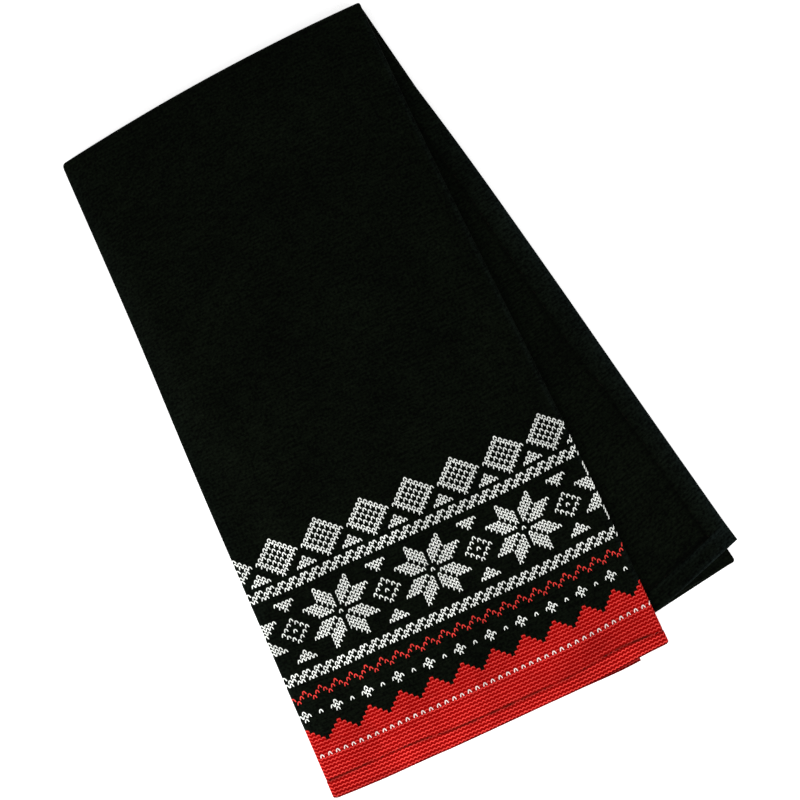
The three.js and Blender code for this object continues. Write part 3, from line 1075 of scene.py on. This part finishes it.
class TeaTowelCloth(bpy.types.PropertyGroup):
    """Sizes and yarn colours of the cloth."""

    thickness: FloatProperty(
        name="Thickness", description="Thickness of the single cloth",
        default=0.95 * MM, unit="LENGTH", precision=5,
    )
    hem_thickness: FloatProperty(
        name="Hem Thickness", description="Thickness of the turned and sewn hems",
        default=1.26 * MM, unit="LENGTH", precision=5,
    )
    yarn_width: FloatProperty(
        name="Yarn Width", description="Width of the figure's yarn as a share of a stitch",
        default=0.24, subtype="FACTOR",
    )
    red_fullness: FloatProperty(
        name="Red Fullness", description="How much wider the yarn lies on the red ground",
        default=0.04, subtype="FACTOR",
    )
    # Strength of the painted highlight on the black
    hem_paleness: FloatProperty(
        name="Hem Paleness", description="How many times paler the black is at a hem's edge",
        default=2.0,
    )
    yarn_relief: FloatProperty(
        name="Yarn Relief", description="Height of the figure's yarn above the ground",
        default=0.16 * MM, unit="LENGTH", precision=5,
    )
    black_yarn: FloatVectorProperty(
        name="Black Yarn", description="Colour of the ground", size=4, subtype="COLOR",
        default=linear("#050804"),
    )
    # Colour of the black in the painted highlight on the hems
    highlight_yarn: FloatVectorProperty(
        name="Highlight Yarn", description="Colour of the ground in a hem's painted highlight", size=4,
        subtype="COLOR", default=linear("#050807"),
    )
    white_yarn: FloatVectorProperty(
        name="White Yarn", description="Colour of the white figure", size=4, subtype="COLOR",
        default=linear("#ECEFE9"),
    )
    red_yarn: FloatVectorProperty(
        name="Red Yarn", description="Colour of the red figure", size=4, subtype="COLOR",
        default=linear("#D53B35"),
    )
    red_shade: FloatVectorProperty(
        name="Red Ground", description="Colour between the red stitches", size=4, subtype="COLOR",
        default=linear("#820202"),
    )
    drawn_yarn: FloatVectorProperty(
        name="Drawn Yarn", description="Colour of the yarn drawn up along a sewn line", size=4,
        subtype="COLOR", default=linear("#2A0A04"),
    )


class TeaTowelStitching(bpy.types.PropertyGroup):
    """Sizes and colour of the hem stitching."""

    pitch: FloatProperty(
        name="Stitch Pitch", description="From one stitch to the next",
        default=3.0 * MM, unit="LENGTH", precision=5,
    )
    length: FloatProperty(
        name="Stitch Length", description="Length of the thread that shows in one stitch",
        default=2.6 * MM, unit="LENGTH", precision=5,
    )
    diameter: FloatProperty(
        name="Thread Diameter", description="Thickness of the sewing thread",
        default=0.45 * MM, unit="LENGTH", precision=5,
    )
    thread_colour: FloatVectorProperty(
        name="Thread Colour", description="Colour of the sewing thread", size=4, subtype="COLOR",
        default=linear("#080503"),
    )
    seed: IntProperty(name="Seed", description="Seed of the stitches' unevenness", default=11)


class TeaTowelStudio(bpy.types.PropertyGroup):
    """Floor, light and camera."""

    floor_colour: FloatVectorProperty(
        name="Floor Colour", description="Colour of the light table", size=4,
        subtype="COLOR", default=linear("#F8F8F8"),
    )
    table_glow: FloatProperty(
        name="Table Glow", description="Strength of the light from below the table", default=0.45
    )
    side_power: FloatProperty(
        name="Side Light", description="Power of the lamps at the sides", default=7.6,
        unit="POWER",
    )
    sky_strength: FloatProperty(
        name="Surround Light", description="Strength of the white surround", default=0.52
    )
    focal_length: FloatProperty(
        name="Focal Length", description="Lens of the camera in millimetres", default=60.0
    )


class TEA_TOWEL_OT_cloth(bpy.types.Operator):
    """Makes the folded cloth with its hems and woven border"""

    bl_idname = "tea_towel.cloth"
    bl_label = "Folded Cloth"

    def execute(self, context):
        towel = context.scene.tea_towel_cloth
        points, quads, stitches, shift = cloth_skin(towel)
        cloth = object_from("folded_cloth", points, [], quads)
        mesh = cloth.data
        context.scene["tea_towel_shift"] = tuple(shift)
        places = mesh.uv_layers.new(name="stitches").uv
        for corner, place in zip(mesh.loops, places):
            place.vector = stitches[corner.vertex_index]
        # Marks at each point: painted highlight, painted shadow, and the drawn-up yarn of the red
        # hem
        for mark in (painted_highlight, shadow, drawn_up):
            layer = mesh.attributes.new(mark.__name__, "FLOAT", "POINT")
            layer.data.foreach_set("value", [mark(*place) for place in stitches])
        letters = []
        for face in mesh.polygons:
            column = sum(stitches[v][0] for v in face.vertices) / len(face.vertices)
            row = sum(stitches[v][1] for v in face.vertices) / len(face.vertices)
            column = min(CLOTH_STITCHES - 1, math.floor(column))
            letters.append(yarn_at(column, math.floor(row)))
        for name, marked in (("white_stitch", "WV"), ("red_stitch", "RF"), ("red_ground", "FV")):
            layer = mesh.attributes.new(name, "FLOAT", "FACE")
            layer.data.foreach_set("value", [float(letter in marked) for letter in letters])
        mesh.shade_smooth()
        mesh.materials.append(jacquard_cotton(towel))
        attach(cloth, "root")
        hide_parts("towel")
        return {"FINISHED"}


class TEA_TOWEL_OT_hem_stitching(bpy.types.Operator):
    """Sews the hems: one line of stitches along each edge of the cloth"""

    bl_idname = "tea_towel.hem_stitching"
    bl_label = "Hem Stitching"

    def execute(self, context):
        towel = context.scene.tea_towel_cloth
        stitching = context.scene.tea_towel_stitching
        shift = Vector(context.scene["tea_towel_shift"])
        sink = stitching.diameter / MM * 0.1
        points, normals, edges = [], [], []
        for line in seam_lines():
            first = len(points)
            for column, row in line:
                point, normal = seam_point(column, row, towel, sink)
                points.append((point + shift) * MM)
                normals.extend(normal)
            edges += [(k, k + 1) for k in range(first, len(points) - 1)]
        seams = object_from("seam_lines", points, edges, [])
        ups = seams.data.attributes.new("cloth_normal", "FLOAT_VECTOR", "POINT")
        ups.data.foreach_set("vector", normals)
        tree = lockstitch_tree(sewing_thread(stitching))
        modifier = seams.modifiers.new("stitches", "NODES")
        modifier.node_group = tree
        values = {
            "Stitch Pitch": stitching.pitch, "Stitch Length": stitching.length,
            "Thread Diameter": stitching.diameter, "Seed": stitching.seed,
        }
        for item in tree.interface.items_tree:
            if item.name in values:
                modifier[item.identifier] = values[item.name]
        evaluated = seams.evaluated_get(context.evaluated_depsgraph_get())
        mesh = bpy.data.meshes.new_from_object(evaluated)
        bpy.data.objects.remove(seams)
        mesh.name = "hem_stitching"
        sewn = bpy.data.objects.new("hem_stitching", mesh)
        context.scene.collection.objects.link(sewn)
        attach(sewn, "root")
        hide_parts("towel")
        return {"FINISHED"}


class TEA_TOWEL_OT_stage(bpy.types.Operator):
    """Lays the floor and sets up the lamps and the camera"""

    bl_idname = "tea_towel.stage"
    bl_label = "Studio"

    def execute(self, context):
        studio = context.scene.tea_towel_studio
        corners = [(FLOOR_REACH * x, FLOOR_REACH * y, FLOOR_LEVEL)
                   for x, y in ((-1, -1), (1, -1), (1, 1), (-1, 1))]
        floor = object_from("floor", corners, [], [(0, 1, 2, 3)])
        floor.data.materials.append(opal_acrylic(studio))
        for name, bearing, rise, distance, width, share in LAMPS:
            lamp = bpy.data.lights.new(name, "AREA")
            lamp.shape, lamp.size, lamp.size_y = "RECTANGLE", width, width
            lamp.energy = studio.side_power * share
            holder = bpy.data.objects.new(name, lamp)
            context.scene.collection.objects.link(holder)
            angle, height = math.radians(bearing) + VIEW_TURN, math.radians(rise)
            holder.location = Vector((
                distance * math.cos(height) * math.cos(angle),
                distance * math.cos(height) * math.sin(angle),
                distance * math.sin(height),
            ))
            holder.rotation_euler = (-holder.location).to_track_quat("-Z", "Y").to_euler()
        world = bpy.data.worlds.new("white_surround")
        context.scene.world = world
        world.use_nodes = True
        world.node_tree.nodes.clear()
        surround = add_node(
            world.node_tree, "ShaderNodeBackground",
            {"Color": (1.0, 1.0, 1.0, 1.0), "Strength": studio.sky_strength},
        )
        add_node(world.node_tree, "ShaderNodeOutputWorld", {"Surface": surround})
        lens = bpy.data.cameras.new("camera")
        lens.lens, lens.sensor_width = studio.focal_length, 36.0
        camera = bpy.data.objects.new("camera", lens)
        context.scene.collection.objects.link(camera)
        shift = Vector(context.scene["tea_towel_shift"])
        camera.location = (CAMERA_PLACE + Vector((shift.x, shift.y, 0.0))) * MM
        camera.rotation_euler = Euler((VIEW_TILT, 0.0, VIEW_TURN), "XYZ")
        context.scene.camera = camera
        context.scene.view_settings.view_transform = "Standard"
        return {"FINISHED"}


class TEA_TOWEL_PT_parts(bpy.types.Panel):
    """Lists the tea towel's parts and their sizes"""

    bl_label = "Tea Towel"
    bl_idname = "TEA_TOWEL_PT_parts"
    bl_space_type = "VIEW_3D"
    bl_region_type = "UI"
    bl_category = "Tea Towel"

    def draw(self, context):
        scene = context.scene
        for operator, group in (
            (TEA_TOWEL_OT_cloth, scene.tea_towel_cloth),
            (TEA_TOWEL_OT_hem_stitching, scene.tea_towel_stitching),
            (TEA_TOWEL_OT_stage, scene.tea_towel_studio),
        ):
            box = self.layout.box()
            box.operator(operator.bl_idname)
            for name in group.bl_rna.properties.keys():
                if name not in ("rna_type", "name"):
                    box.prop(group, name)


CLASSES = (
    TeaTowelCloth,
    TeaTowelStitching,
    TeaTowelStudio,
    TEA_TOWEL_OT_cloth,
    TEA_TOWEL_OT_hem_stitching,
    TEA_TOWEL_OT_stage,
    TEA_TOWEL_PT_parts,
)


def register():
    for part in CLASSES:
        bpy.utils.register_class(part)
    bpy.types.Scene.tea_towel_cloth = PointerProperty(type=TeaTowelCloth)
    bpy.types.Scene.tea_towel_stitching = PointerProperty(type=TeaTowelStitching)
    bpy.types.Scene.tea_towel_studio = PointerProperty(type=TeaTowelStudio)


def unregister():
    del bpy.types.Scene.tea_towel_studio
    del bpy.types.Scene.tea_towel_stitching
    del bpy.types.Scene.tea_towel_cloth
    for part in reversed(CLASSES):
        bpy.utils.unregister_class(part)


def main():
    """Makes every part."""
    register()
    bpy.ops.tea_towel.cloth()
    bpy.ops.tea_towel.hem_stitching()
    bpy.ops.tea_towel.stage()


if __name__ == "__main__":
    main()
